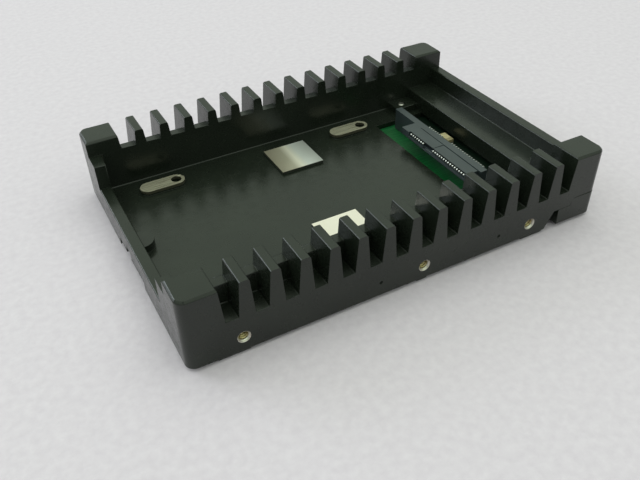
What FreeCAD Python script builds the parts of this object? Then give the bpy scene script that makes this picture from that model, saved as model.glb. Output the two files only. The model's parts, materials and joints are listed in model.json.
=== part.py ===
import FreeCAD, Part
import math
import os
from types import SimpleNamespace

import Sketcher

# A finned tray that carries a 2.5 inch drive in a 3.5 inch bay, with an adapter board at its rear end.
# X runs along the tray towards the rear (connector) end, Y across it and Z up. The origin is the middle
# of the underside, level with the feet.

# Driving dimensions in millimetres. "level" is a height above the feet, "from_rear" a distance from the
# rear end face.
SIZES = {
    # Tray: overall size of a 3.5 inch drive
    "body_length": 147.0,
    "body_width": 101.6,
    "body_height": 26.1,
    "corner_radius": 3.0,
    "block_bevel": 0.7,
    "lip_radius": 0.5,
    "edge_lift": 1.4,
    "wall_thickness": 11.3,
    "end_wall_thickness": 3.9,
    "floor_level": 6.3,
    "floor_thickness": 2.0,
    "underside_rim": 6.0,
    "inner_corner_radius": 1.2,
    # Tray: side rails and cooling slots
    "rail_level": 20.7,
    "rail_thickness": 3.6,
    "slot_count": 14,
    "slot_pitch": 9.04,
    "slot_top_width": 6.1,
    "slot_mouth_radius": 0.6,
    "slot_floor_width": 4.0,
    "slot_floor_level": 13.9,
    "slot_row_shift": -0.57,
    # Tray: front end
    "sill_level": 12.0,
    "sill_opening": 64.0,
    "front_relief_width": 26.0,
    "front_notch_width": 4.4,
    "front_notch_level": 6.8,
    "front_notch_depth": 2.5,
    "front_boss_radius": 4.3,
    "front_boss_level": 9.0,
    "front_boss_inset": 4.5,
    "front_boss_y": 2.0,
    # Tray: rear end
    "rear_wall_level": 19.2,
    "shelf_level": 12.8,
    "shelf_depth": 11.1,
    "shelf_thickness": 2.5,
    "skirt_thickness": 2.0,
    "skirt_level": 6.0,
    "window_from_rear": 37.2,
    "window_near_gap": 3.045,
    "window_far_gap": 2.205,
    "platform_length": 9.9,
    "platform_width": 7.0,
    "platform_level": 9.0,
    # Tray: side cut-outs that the rear cover fills
    "cutout_start_from_rear": 21.2,
    "cutout_slope": 3.0,
    "cutout_low_level": 7.6,
    "cutout_high_level": 10.2,
    "cutout_step_from_rear": 11.1,
    "cutout_step_run": 1.2,
    # Tray: mounting holes of a 3.5 inch drive
    "mount_hole_radius": 1.4,
    "mount_hole_depth": 7.0,
    "mount_hole_sink": 0.6,
    "side_hole_level": 6.35,
    "side_hole_from_rear": 28.5,
    "side_hole_middle_pitch": 41.6,
    "side_hole_pitch": 101.6,
    "bottom_hole_from_rear": 41.28,
    "bottom_hole_pitch": 44.45,
    "bottom_hole_from_side": 3.175,
    "dimple_radius": 0.6,
    "dimple_depth": 0.4,
    "foot_width": 8.0,
    "foot_inset": 0.8,
    # Drive: where a 2.5 inch drive sits
    "drive_from_rear": 29.9,
    "drive_level": 8.1,
    "drive_hole_from_end": 14.0,
    "drive_hole_pitch": 76.6,
    "drive_hole_span": 61.72,
    "drive_hole_radius": 1.9,
    "drive_boss_radius": 3.05,
    "drive_boss_tail": 10.2,
    # Thermal pads with foil faces
    "pad_side": 16.6,
    "pad_thickness": 1.0,
    "foil_thickness": 0.1,
    "pad_span": 49.0,
    "pad_far_shift": 5.4,
    "pad_near_shift": -0.2,
    # Adapter board
    "board_thickness": 1.6,
    "board_lap": 2.1,
    "board_margin": 2.0,
    "board_rear_inset": 2.0,
    # Contacts: shared pitch, and the strips of the drive socket and of the host plug
    "contact_pitch": 1.27,
    "contact_gap": 6.35,
    "signal_count": 7,
    "power_count": 15,
    "contact_foot": 1.3,
    "contact_thickness": 0.3,
    "socket_contact_width": 0.64,
    "plug_contact_width": 0.84,
    # Drive socket
    "socket_middle_y": -2.5,
    "socket_clearance": 0.3,
    "socket_bar_depth": 2.7,
    "socket_bar_tail": 13.3,
    "socket_bar_lead": 1.2,
    "socket_nose_depth": 5.9,
    "socket_nose_height": 2.8,
    "socket_level": 13.0,
    "socket_far_margin": 5.4,
    "socket_near_margin": 1.5,
    "socket_slot_margin": 1.0,
    "socket_slot_height": 1.3,
    "socket_plate_thickness": 0.5,
    "socket_plate_setback": 1.0,
    "socket_slot_back": 0.8,
    "socket_key_depth": 0.6,
    "socket_groove": 0.35,
    "socket_contact_setback": 0.3,
    # Host plug
    "plug_near_from_side": 6.265,
    "plug_depth": 9.6,
    "plug_height": 5.5,
    "plug_mouth_inset": 0.3,
    "plug_wall": 1.0,
    "plug_far_margin": 4.0,
    "plug_near_margin": 1.9,
    "plug_back_wall": 2.0,
    "plug_tongue_level": 2.3,
    "plug_tongue_thickness": 1.2,
    "plug_tongue_setback": 0.8,
    "plug_tongue_margin": 0.9,
    "plug_clearance": 0.6,
    # Solder tabs that hold both connectors down
    "tab_width": 2.0,
    "tab_thickness": 0.4,
    "tab_height": 4.0,
    "tab_foot": 2.6,
    # Capacitor
    "capacitor_length": 5.8,
    "capacitor_width": 2.7,
    "capacitor_height": 2.3,
    "capacitor_stand": 0.15,
    "capacitor_behind_socket": 7.2,
    "capacitor_y": 7.8,
    "terminal_width": 2.0,
    "terminal_thickness": 0.15,
    # Rear cover
    "cover_thickness": 1.3,
    "cover_gap": 0.15,
    "cover_front_gap": 2.2,
    "cover_wall": 5.0,
    "cover_rear_wall": 1.4,
    "cover_corner_radius": 2.8,
    # Screws
    "screw_radius": 1.4,
    "screw_head_radius": 2.6,
    "screw_head_height": 1.1,
    "board_screw_from_shelf": 6.0,
    "board_screw_inset": 3.8,
    "board_screw_proud": 0.2,
    "cover_screw_radius": 1.0,
    "cover_screw_head_radius": 1.6,
    "cover_screw_from_rear": 7.0,
    "cover_screw_inset": 2.6,
    "cover_screw_bite": 5.0,
    "screw_clearance": 0.2,
}

TOUCH = 1e-4
NEAR, FAR = -1, 1
SIDES = {"near": NEAR, "far": FAR}


class Size:
    """A length that carries its expression in the sheet and its present value."""

    def __init__(self, text, value):
        self.text = text
        self.value = value

    @staticmethod
    def of(length):
        return length if isinstance(length, Size) else Size(repr(float(length)), float(length))

    def joined(self, sign, other, value):
        return Size(f"({self.text} {sign} {other.text})", value)

    def __add__(self, other):
        other = Size.of(other)
        return self.joined("+", other, self.value + other.value)

    def __sub__(self, other):
        other = Size.of(other)
        return self.joined("-", other, self.value - other.value)

    def __mul__(self, other):
        other = Size.of(other)
        return self.joined("*", other, self.value * other.value)

    def __truediv__(self, other):
        other = Size.of(other)
        return self.joined("/", other, self.value / other.value)

    def __neg__(self):
        return Size(f"(-{self.text})", -self.value)

    __rmul__ = __mul__


def fill_sheet(doc):
    """Write the driving dimensions to the sheet and return them as named sizes."""
    sheet = doc.addObject("Spreadsheet::Sheet", "sizes")
    for row, (name, number) in enumerate(SIZES.items(), 1):
        sheet.set(f"A{row}", name)
        sheet.set(f"B{row}", str(number))
        sheet.setAlias(f"B{row}", name)
    doc.recompute()
    return SimpleNamespace(**{name: Size(f"sizes.{name}", number) for name, number in SIZES.items()})


doc = FreeCAD.newDocument("drive_bracket")
size = fill_sheet(doc)

# Planes and levels that several pieces share
rear = size.body_length / 2
front = -rear
side = size.body_width / 2
bay_half = side - size.wall_thickness
floor_under = size.floor_level - size.floor_thickness
front_inner = front + size.end_wall_thickness
rear_inner = rear - size.end_wall_thickness
shelf_front = rear_inner - size.shelf_depth
skirt_back = shelf_front + size.skirt_thickness
shelf_under = size.shelf_level - size.shelf_thickness
window_front = rear - size.window_from_rear
platform_front = shelf_front - size.platform_length
first_slot_x = size.slot_row_shift - size.slot_pitch * (size.slot_count - 1) / 2
last_slot_x = size.slot_row_shift + size.slot_pitch * (size.slot_count - 1) / 2

drive_end = rear - size.drive_from_rear
drive_holes_x = [drive_end - size.drive_hole_from_end - size.drive_hole_pitch,
                 drive_end - size.drive_hole_from_end]
drive_middle = drive_end - size.drive_hole_from_end - size.drive_hole_pitch / 2
side_holes_x = [rear - size.side_hole_from_rear - size.side_hole_pitch,
                rear - size.side_hole_from_rear - size.side_hole_middle_pitch,
                rear - size.side_hole_from_rear]
bottom_holes_x = [rear - size.bottom_hole_from_rear - size.bottom_hole_pitch,
                  rear - size.bottom_hole_from_rear]

board_top = floor_under
board_bottom = board_top - size.board_thickness
board_front = window_front - size.board_lap
board_rear = rear - size.board_rear_inset
board_half = bay_half - size.board_margin
cover_bottom = board_bottom - size.cover_thickness
cover_inner = side - size.cover_wall
board_screw_x = shelf_front - size.board_screw_from_shelf
board_screw_y = bay_half - size.board_screw_inset
cover_screw_x = rear - size.cover_screw_from_rear
cover_screw_y = side - size.cover_screw_inset


def contact_places(middle):
    """Y of the first signal, last signal, first power and last power contact about a key's middle."""
    signal_span = size.contact_pitch * (size.signal_count - 1)
    power_span = size.contact_pitch * (size.power_count - 1)
    last_signal = middle + size.contact_gap / 2
    first_power = middle - size.contact_gap / 2
    return SimpleNamespace(first_signal=last_signal + signal_span, last_signal=last_signal,
                           first_power=first_power, last_power=first_power - power_span)


socket = contact_places(size.socket_middle_y)
socket_bar_front = drive_end + size.socket_clearance
socket_bar_back = socket_bar_front + size.socket_bar_depth
socket_nose_front = socket_bar_front - size.socket_nose_depth
socket_near = socket.last_power - size.socket_near_margin
socket_bar_near = socket_near - size.socket_bar_lead
socket_far = socket.first_signal + size.socket_far_margin
socket_bar_far = socket_far + size.socket_bar_tail
socket_slot_top = size.socket_level - size.socket_plate_thickness
socket_slot_bottom = socket_slot_top - size.socket_slot_height
socket_contact_top = socket_slot_top - size.contact_thickness
socket_contact_bottom = socket_contact_top - size.contact_thickness

plug_near = -side + size.plug_near_from_side
plug = contact_places(plug_near + size.plug_wall + size.plug_near_margin + size.contact_gap / 2
                      + size.contact_pitch * (size.power_count - 1))
plug_back = rear - size.plug_mouth_inset - size.plug_depth
plug_mouth = rear - size.plug_mouth_inset
plug_far = plug.first_signal + size.plug_far_margin + size.plug_wall
plug_tongue_bottom = board_top + size.plug_tongue_level
plug_tongue_top = plug_tongue_bottom + size.plug_tongue_thickness

cover_sink_depth = size.cutout_low_level - cover_bottom - size.cover_thickness
cover_head_seat = cover_bottom + cover_sink_depth


def bind(feature, name, length):
    feature.setExpression(name, Size.of(length).text)


def vector(point):
    return FreeCAD.Vector(Size.of(point[0]).value, Size.of(point[1]).value, 0)


def new_body(label):
    body = doc.addObject("PartDesign::Body", label)
    body.Label = label
    return body


def origin_feature(body, role):
    return next(feature for feature in body.Origin.OriginFeatures if feature.Role == role)


def new_sketch(body, name, plane, offset):
    """A sketch on one of the body's own origin planes, moved along the plane's normal."""
    sketch = body.newObject("Sketcher::SketchObject", name)
    sketch.AttachmentSupport = [(origin_feature(body, plane), "")]
    sketch.MapMode = "FlatFace"
    bind(sketch, "AttachmentOffset.Base.z", offset)
    return sketch


def level_sketch(body, name, level):
    return new_sketch(body, name, "XY_Plane", level)


def side_sketch(body, name, y):
    """A sketch in X and Z at the given Y. Its normal points to -Y."""
    return new_sketch(body, name, "XZ_Plane", -Size.of(y))


def fix_length(sketch, kind, geometry, vertex, length):
    length = Size.of(length)
    constraint = Sketcher.Constraint(kind, -1, 1, geometry, vertex, length.value)
    index = sketch.addConstraint(constraint)
    sketch.setExpression(f"Constraints[{index}]", length.text)


def fix_point(sketch, geometry, vertex, point):
    fix_length(sketch, "DistanceX", geometry, vertex, point[0])
    fix_length(sketch, "DistanceY", geometry, vertex, point[1])


def fix_radius(sketch, geometry, radius):
    index = sketch.addConstraint(Sketcher.Constraint("Radius", geometry, Size.of(radius).value))
    sketch.setExpression(f"Constraints[{index}]", Size.of(radius).text)


def add_outline(sketch, points, rounded=None):
    """A closed outline of straight lines with every corner fixed by the sheet, some of them rounded."""
    first = sketch.GeometryCount
    corners = [vector(point) for point in points]
    for start, end in zip(corners, corners[1:] + corners[:1]):
        sketch.addGeometry(Part.LineSegment(start, end))
    for index, point in enumerate(points):
        following = first + (index + 1) % len(points)
        sketch.addConstraint(Sketcher.Constraint("Coincident", first + index, 2, following, 1))
        fix_point(sketch, first + index, 1, point)
    for index, radius in (rounded or {}).items():
        sketch.fillet(first + index, 1, Size.of(radius).value, True, True)
        arc = sketch.GeometryCount - 2
        fix_radius(sketch, arc, radius)


def add_rectangle(sketch, low, high):
    add_outline(sketch, [low, (high[0], low[1]), high, (low[0], high[1])])


def add_circle(sketch, centre, radius):
    normal = FreeCAD.Vector(0, 0, 1)
    index = sketch.addGeometry(Part.Circle(vector(centre), normal, Size.of(radius).value))
    fix_point(sketch, index, 3, centre)
    fix_radius(sketch, index, radius)


def add_stadium(sketch, start, end, radius):
    """A long round-ended outline between two centres on a line along X."""
    normal = FreeCAD.Vector(0, 0, 1)
    quarter = math.pi / 2
    up = FreeCAD.Vector(0, Size.of(radius).value, 0)
    start_circle = Part.Circle(vector(start), normal, Size.of(radius).value)
    end_circle = Part.Circle(vector(end), normal, Size.of(radius).value)
    start_arc = sketch.addGeometry(Part.ArcOfCircle(start_circle, quarter, 3 * quarter))
    low_line = sketch.addGeometry(Part.LineSegment(vector(start) - up, vector(end) - up))
    end_arc = sketch.addGeometry(Part.ArcOfCircle(end_circle, -quarter, quarter))
    high_line = sketch.addGeometry(Part.LineSegment(vector(end) + up, vector(start) + up))
    loop = [start_arc, low_line, end_arc, high_line]
    for index, following in zip(loop, loop[1:] + loop[:1]):
        sketch.addConstraint(Sketcher.Constraint("Tangent", index, 2, following, 1))
    sketch.addConstraint(Sketcher.Constraint("Equal", start_arc, end_arc))
    fix_point(sketch, start_arc, 3, start)
    fix_point(sketch, end_arc, 3, end)
    fix_radius(sketch, start_arc, radius)


def volume(body):
    return 0 if body.Shape.isNull() else body.Shape.Volume


def extrude(kind, sketch, length, reverse=False, symmetric=False):
    """A pad or pocket of a sketch that has to add or remove material."""
    body = sketch.getParentGeoFeatureGroup()
    before = volume(body)
    feature = body.newObject(f"PartDesign::{kind}", sketch.Name + "_" + kind.lower())
    feature.Profile = sketch
    bind(feature, "Length", length)
    feature.Reversed = reverse
    if symmetric:
        feature.SideType = "Symmetric"
    doc.recompute()
    change = volume(body) - before
    if change * (1 if kind == "Pad" else -1) <= 0:
        raise RuntimeError(f"{feature.Name} left the solid as it was")
    return feature


def pad(sketch, length, **options):
    return extrude("Pad", sketch, length, **options)


def pocket(sketch, length, **options):
    return extrude("Pocket", sketch, length, **options)


def repeat(feature, axis, pitch, count):
    """A row of copies of one feature along an axis of its body."""
    body = feature.getParentGeoFeatureGroup()
    pattern = body.newObject("PartDesign::LinearPattern", feature.Name + "_row")
    pattern.Originals = [feature]
    pattern.Direction = (origin_feature(body, axis), [""])
    bind(pattern, "Length", pitch * (Size.of(count) - 1))
    bind(pattern, "Occurrences", count)
    body.Tip = pattern
    doc.recompute()
    return pattern


def dress(kind, body, name, length, wanted):
    """A fillet or chamfer on the edges that the test picks."""
    base = body.Tip
    edges = [f"Edge{index}" for index, edge in enumerate(base.Shape.Edges, 1) if wanted(edge)]
    feature = body.newObject(f"PartDesign::{kind}", name)
    feature.Base = (base, edges)
    bind(feature, "Radius" if kind == "Fillet" else "Size", length)
    doc.recompute()
    return feature


def is_near(first, second):
    return abs(first - Size.of(second).value) < TOUCH


def is_level(edge, level):
    return is_near(edge.BoundBox.ZMin, level) and is_near(edge.BoundBox.ZMax, level)


def is_upright(edge):
    box = edge.BoundBox
    return max(box.XLength, box.YLength) < TOUCH < box.ZLength


def stands_at(edge, x, y):
    return is_upright(edge) and is_near(abs(edge.BoundBox.XMin), x) and is_near(abs(edge.BoundBox.YMin), y)


def make_tray():
    body = new_body("finned_tray")
    outline = level_sketch(body, "tray_outline", size.edge_lift)
    add_rectangle(outline, (front, -side), (rear, side))
    pad(outline, size.body_height - size.edge_lift)
    dress("Fillet", body, "tray_corners", size.corner_radius, is_upright)
    hollow_tray(body)
    cut_ends(body)
    square_fin_ends(body)
    add_raised_features(body)
    cut_underside(body)
    cut_holes(body)
    cut_slots(body)
    return body


def hollow_tray(body):
    """The drive's bay and, behind it, the shallower well above the shelf."""
    top = size.body_height
    bay = level_sketch(body, "bay", top)
    add_rectangle(bay, (front_inner, -bay_half), (shelf_front, bay_half))
    pocket(bay, top - size.floor_level)
    well = level_sketch(body, "rear_well", top)
    add_rectangle(well, (shelf_front, -bay_half), (rear_inner, bay_half))
    pocket(well, top - size.shelf_level)
    dress("Fillet", body, "bay_corners", size.inner_corner_radius,
          lambda edge: is_upright(edge) and is_near(edge.BoundBox.XMin, front_inner))


def cut_ends(body):
    """Lower the end walls between the corner blocks."""
    top = size.body_height
    front_reach = front_inner + size.inner_corner_radius
    cuts = {
        "front_rail_gap": (front, front_reach, bay_half, size.rail_level),
        "sill_gap": (front, front_reach, size.sill_opening / 2, size.sill_level),
        "rear_wall_gap": (rear_inner, rear, bay_half, size.rear_wall_level),
    }
    for name, (low_x, high_x, half, level) in cuts.items():
        gap = level_sketch(body, name, top)
        add_rectangle(gap, (low_x, -half), (high_x, half))
        pocket(gap, top - level)

    def is_lip(edge):
        along_y = edge.BoundBox.XLength < TOUCH and edge.BoundBox.YLength > size.sill_opening.value / 2
        at_end = is_level(edge, size.sill_level) or is_level(edge, size.rear_wall_level)
        at_shelf = is_level(edge, size.shelf_level) and is_near(edge.BoundBox.XMin, shelf_front)
        return along_y and (at_end or at_shelf)

    dress("Fillet", body, "lips", size.lip_radius, is_lip)
    dress("Chamfer", body, "block_edges", size.block_bevel, lambda edge: is_level(edge, top))


def square_fin_ends(body):
    """Fill the bevels between the corner blocks, so that only the blocks keep them."""
    level = size.body_height - size.block_bevel
    for name, sign in SIDES.items():
        stock = level_sketch(body, f"{name}_fin_stock", level)
        edges = sorted((sign * bay_half, sign * side), key=lambda y: y.value)
        add_rectangle(stock, (first_slot_x, edges[0]), (last_slot_x, edges[1]))
        pad(stock, size.block_bevel)


def add_slot(sketch, low_level):
    """The first cooling slot of the row, from a level up: it widens upwards and its mouth is rounded."""
    middle = first_slot_x
    top = size.body_height
    flare = (size.slot_top_width - size.slot_floor_width) / 2
    share = (low_level - size.slot_floor_level) / (top - size.slot_floor_level)
    low_half = size.slot_floor_width / 2 + flare * share
    high_half = size.slot_top_width / 2
    clear = size.slot_mouth_radius * 2
    cap_half = high_half + clear
    corners = [(middle - low_half, low_level), (middle + low_half, low_level), (middle + high_half, top),
               (middle + cap_half, top), (middle + cap_half, top + clear),
               (middle - cap_half, top + clear), (middle - cap_half, top), (middle - high_half, top)]
    add_outline(sketch, corners, {2: size.slot_mouth_radius, 7: size.slot_mouth_radius})


def cut_slots(body):
    """Slots run through both walls above the rails, and below that stop at the rail."""
    through = side_sketch(body, "through_slot", 0)
    add_slot(through, size.rail_level)
    through_slot = pocket(through, size.body_width, symmetric=True)
    repeat(through_slot, "X_Axis", size.slot_pitch, size.slot_count)
    for name, sign in SIDES.items():
        sketch = side_sketch(body, f"{name}_slot", sign * side)
        add_slot(sketch, size.slot_floor_level)
        slot = pocket(sketch, size.wall_thickness - size.rail_thickness, reverse=sign == FAR)
        repeat(slot, "X_Axis", size.slot_pitch, size.slot_count)


def cut_underside(body):
    """Recess under the floor, window over the board, and the room for plug and cover at the rear."""
    low = size.edge_lift
    recess = level_sketch(body, "underside_recess", low)
    add_rectangle(recess, (front + size.underside_rim, -bay_half), (rear, bay_half))
    pocket(recess, floor_under - low, reverse=True)
    window = level_sketch(body, "board_window", size.floor_level)
    add_rectangle(window, (window_front, socket_bar_near - size.window_near_gap),
                  (shelf_front, socket_bar_far + size.window_far_gap))
    pocket(window, size.floor_thickness)
    skirt_gap = level_sketch(body, "skirt_gap", low)
    add_rectangle(skirt_gap, (shelf_front, -bay_half), (skirt_back, bay_half))
    pocket(skirt_gap, size.skirt_level - low, reverse=True)
    plug_well = level_sketch(body, "plug_well", low)
    add_rectangle(plug_well, (skirt_back, -cover_inner), (rear, cover_inner))
    pocket(plug_well, shelf_under - low, reverse=True)
    for name, sign in SIDES.items():
        cutout = side_sketch(body, f"{name}_cutout", sign * side)
        add_outline(cutout, cutout_outline())
        pocket(cutout, size.wall_thickness, reverse=sign == FAR)
    relief = level_sketch(body, "front_relief", low)
    half = size.front_relief_width / 2
    add_rectangle(relief, (front, -half), (front + size.underside_rim, half))
    pocket(relief, floor_under - low, reverse=True)
    notch = level_sketch(body, "front_notch", low)
    half = size.front_notch_width / 2
    add_rectangle(notch, (front, size.front_boss_y - half),
                  (front + size.front_notch_depth, size.front_boss_y + half))
    pocket(notch, size.front_notch_level - low, reverse=True)


def cutout_outline():
    """Side view of the stepped cut-out at the rear lower corner."""
    start = rear - size.cutout_start_from_rear
    step = rear - size.cutout_step_from_rear
    return [(start, size.edge_lift), (rear, size.edge_lift), (rear, size.cutout_high_level),
            (step + size.cutout_step_run, size.cutout_high_level), (step, size.cutout_low_level),
            (start + size.cutout_slope, size.cutout_low_level)]


def add_raised_features(body):
    """Feet, drive bosses, board platforms and the round boss behind the sill."""
    for name, sign in SIDES.items():
        feet = level_sketch(body, f"{name}_feet", 0)
        outer = side - size.foot_inset
        edges = sorted((sign * outer, sign * (outer - size.foot_width)), key=lambda y: y.value)
        spans = [(side_holes_x[0] - size.foot_width, side_holes_x[0] + size.foot_width / 4),
                 (side_holes_x[1] - size.foot_width / 4, side_holes_x[1] + size.foot_width / 4),
                 (side_holes_x[2] - size.foot_width / 4, side_holes_x[2] + size.foot_width * 0.9)]
        for low_x, high_x in spans:
            add_rectangle(feet, (low_x, edges[0]), (high_x, edges[1]))
        pad(feet, size.edge_lift)
        platform = level_sketch(body, f"{name}_platform", size.floor_level)
        edges = sorted((sign * bay_half, sign * (bay_half - size.platform_width)), key=lambda y: y.value)
        add_rectangle(platform, (platform_front, edges[0]), (shelf_front, edges[1]))
        pad(platform, size.platform_level - size.floor_level)
        bosses = level_sketch(body, f"{name}_drive_bosses", size.floor_level)
        y = sign * size.drive_hole_span / 2
        for x in drive_holes_x:
            add_stadium(bosses, (x - size.drive_boss_tail, y), (x, y), size.drive_boss_radius)
        pad(bosses, size.drive_level - size.floor_level)
    boss = level_sketch(body, "front_boss", size.floor_level)
    add_circle(boss, (front + size.front_boss_inset, size.front_boss_y), size.front_boss_radius)
    pad(boss, size.front_boss_level - size.floor_level)


def cut_holes(body):
    """Mounting holes of the bracket, the drive's screw holes and the board's screw holes."""
    radius = size.mount_hole_radius
    for name, sign in SIDES.items():
        reverse = sign == FAR
        side_holes = side_sketch(body, f"{name}_side_holes", sign * side)
        for x in side_holes_x:
            add_circle(side_holes, (x, size.side_hole_level), radius)
        pocket(side_holes, size.mount_hole_depth, reverse=reverse)
    dimples = side_sketch(body, "near_dimples", -side)
    for x in bottom_holes_x:
        add_circle(dimples, (x, size.side_hole_level), size.dimple_radius)
    pocket(dimples, size.dimple_depth)
    bottom_holes = level_sketch(body, "bottom_holes", size.edge_lift)
    drive_holes = level_sketch(body, "drive_holes", size.drive_level)
    board_holes = level_sketch(body, "board_holes", size.platform_level)
    cover_holes = level_sketch(body, "cover_holes", size.cutout_high_level)
    for sign in SIDES.values():
        for x in bottom_holes_x:
            add_circle(bottom_holes, (x, sign * (side - size.bottom_hole_from_side)), radius)
        for x in drive_holes_x:
            add_circle(drive_holes, (x, sign * size.drive_hole_span / 2), size.drive_hole_radius)
        add_circle(board_holes, (board_screw_x, sign * board_screw_y), size.screw_radius)
        add_circle(cover_holes, (cover_screw_x, sign * cover_screw_y), size.cover_screw_radius)
    pocket(bottom_holes, size.mount_hole_depth, reverse=True)
    pocket(drive_holes, size.drive_level - floor_under)
    pocket(board_holes, size.platform_level - floor_under)
    pocket(cover_holes, size.cover_screw_bite, reverse=True)

    def is_side_hole_mouth(edge):
        box = edge.BoundBox
        round_enough = is_near(box.XLength, size.mount_hole_radius * 2)
        return round_enough and is_near(abs(box.YMin), side) and is_near(abs(box.YMax), side)

    dress("Chamfer", body, "hole_mouths", size.mount_hole_sink, is_side_hole_mouth)


def make_cover():
    """Rear cover: a plate under the board, with end walls that fill the tray's side cut-outs."""
    body = new_body("rear_cover")
    gap = size.cover_gap
    start = rear - size.cutout_start_from_rear + size.cutout_slope + size.cover_front_gap
    step = rear - size.cutout_step_from_rear
    profile = side_sketch(body, "cover_profile", 0)
    add_outline(profile, [
        (start, cover_bottom), (rear, cover_bottom), (rear, size.cutout_high_level - gap),
        (step + size.cutout_step_run, size.cutout_high_level - gap),
        (step, size.cutout_low_level - gap), (start, size.cutout_low_level - gap)])
    pad(profile, size.body_width, symmetric=True)
    dress("Fillet", body, "cover_corners", size.cover_corner_radius, lambda edge: stands_at(edge, rear, side))
    hollow = level_sketch(body, "cover_hollow", size.cutout_high_level)
    add_rectangle(hollow, (start, -cover_inner), (rear - size.cover_rear_wall, cover_inner))
    pocket(hollow, size.cutout_high_level - board_bottom)
    mouth = level_sketch(body, "cover_mouth", size.cutout_high_level)
    add_rectangle(mouth, (rear - size.cover_rear_wall, plug_near - size.plug_clearance),
                  (rear, plug_far + size.plug_clearance))
    pocket(mouth, size.cutout_high_level - board_bottom)
    tongue = level_sketch(body, "cover_plate", cover_bottom)
    add_rectangle(tongue, (board_front, -board_half), (start, board_half))
    pad(tongue, size.cover_thickness)
    board_holes = level_sketch(body, "cover_board_holes", board_bottom)
    corner_holes = level_sketch(body, "cover_corner_holes", size.cutout_high_level)
    corner_sinks = level_sketch(body, "cover_corner_sinks", cover_bottom)
    for sign in SIDES.values():
        place = (board_screw_x, sign * board_screw_y)
        add_circle(board_holes, place, size.screw_radius + size.screw_clearance)
        place = (cover_screw_x, sign * cover_screw_y)
        add_circle(corner_holes, place, size.cover_screw_radius + size.screw_clearance)
        add_circle(corner_sinks, place, size.cover_screw_head_radius + size.screw_clearance)
    pocket(board_holes, size.cover_thickness)
    pocket(corner_holes, size.cutout_high_level - cover_bottom)
    pocket(corner_sinks, cover_sink_depth, reverse=True)
    return body


def make_board():
    """Adapter board: under the tray's floor, with a wing that carries the near end of the host plug."""
    body = new_body("adapter_board")
    outline = level_sketch(body, "board_outline", board_bottom)
    wing_front = skirt_back
    wing_y = plug_near - size.tab_width / 2
    add_outline(outline, [(board_front, -board_half), (wing_front, -board_half), (wing_front, wing_y),
                          (board_rear, wing_y), (board_rear, board_half), (board_front, board_half)])
    pad(outline, size.board_thickness)
    holes = level_sketch(body, "board_screw_holes", board_top)
    for sign in SIDES.values():
        add_circle(holes, (board_screw_x, sign * board_screw_y), size.screw_radius + size.screw_clearance)
    pocket(holes, size.board_thickness)
    return body


def make_socket_housing():
    """Drive socket: a bar that stands on the board and a slotted nose that enters the drive."""
    body = new_body("drive_socket_housing")
    bar = side_sketch(body, "socket_bar", socket_bar_far)
    add_rectangle(bar, (socket_bar_front, board_top), (socket_bar_back, size.socket_level))
    pad(bar, socket_bar_far - socket_bar_near)
    nose = side_sketch(body, "socket_nose", socket_far)
    add_rectangle(nose, (socket_nose_front, size.socket_level - size.socket_nose_height),
                  (socket_bar_front, size.socket_level))
    pad(nose, socket_far - socket_near)
    slot_far = socket.first_signal + size.socket_slot_margin
    slot_near = socket.last_power - size.socket_slot_margin
    slot_back = socket_bar_front - size.socket_slot_back
    plate_front = socket_nose_front + size.socket_plate_setback
    slot = side_sketch(body, "socket_slot", slot_far)
    add_outline(slot, [(socket_nose_front, socket_slot_bottom), (slot_back, socket_slot_bottom),
                       (slot_back, socket_slot_top), (plate_front, socket_slot_top),
                       (plate_front, size.socket_level), (socket_nose_front, size.socket_level)])
    pocket(slot, slot_far - slot_near, reverse=True)
    key_far = socket.last_signal - size.contact_pitch / 2
    key_near = socket.first_power + size.contact_pitch / 2
    key = side_sketch(body, "socket_key", key_far)
    add_rectangle(key, (socket_nose_front, socket_slot_bottom - size.socket_key_depth),
                  (plate_front, socket_slot_bottom))
    pocket(key, key_far - key_near, reverse=True)
    groove = level_sketch(body, "socket_grooves", size.socket_level)
    half = size.socket_groove / 2
    add_rectangle(groove, (plate_front, key_near - half), (socket_bar_front, key_near + half))
    pocket(groove, size.socket_groove)
    step = level_sketch(body, "socket_step", size.socket_level)
    add_rectangle(step, (socket_bar_front - size.socket_groove, socket_near), (socket_bar_front, slot_far))
    pocket(step, size.socket_groove)
    for name, y, count in (("signal", socket.last_signal, size.signal_count),
                           ("power", socket.last_power, size.power_count)):
        cavity = side_sketch(body, f"{name}_cavity", y)
        add_rectangle(cavity, (slot_back, socket_contact_bottom), (socket_bar_back, socket_contact_top))
        first = pocket(cavity, size.socket_contact_width, symmetric=True)
        repeat(first, "Y_Axis", size.contact_pitch, count)
    return body


def bent_strip(tip_x, knee_x, level, foot_x):
    """Side view of a contact: along its slot, down behind the housing, and out along the board."""
    thick = size.contact_thickness
    outer = thick if foot_x.value > knee_x.value else -thick
    return [(tip_x, level), (knee_x + outer, level), (knee_x + outer, board_top + thick),
            (foot_x, board_top + thick), (foot_x, board_top), (knee_x, board_top),
            (knee_x, level - thick), (tip_x, level - thick)]


def make_contacts(label, y, count, width, outline):
    """A row of equal contacts from the given Y towards +Y, one solid each."""
    body = new_body(label)
    profile = side_sketch(body, f"{label}_profile", y)
    add_outline(profile, outline)
    first = pad(profile, width, symmetric=True)
    repeat(first, "Y_Axis", size.contact_pitch, count)
    return body


def make_socket_contacts():
    knee = socket_bar_back + size.contact_thickness
    outline = bent_strip(socket_nose_front + size.socket_contact_setback, knee, socket_contact_top,
                         knee + size.contact_foot)
    rows = {"signal": (socket.last_signal, size.signal_count), "power": (socket.last_power, size.power_count)}
    return [make_contacts(f"drive_socket_{name}_contacts", y, count, size.socket_contact_width, outline)
            for name, (y, count) in rows.items()]


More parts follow.
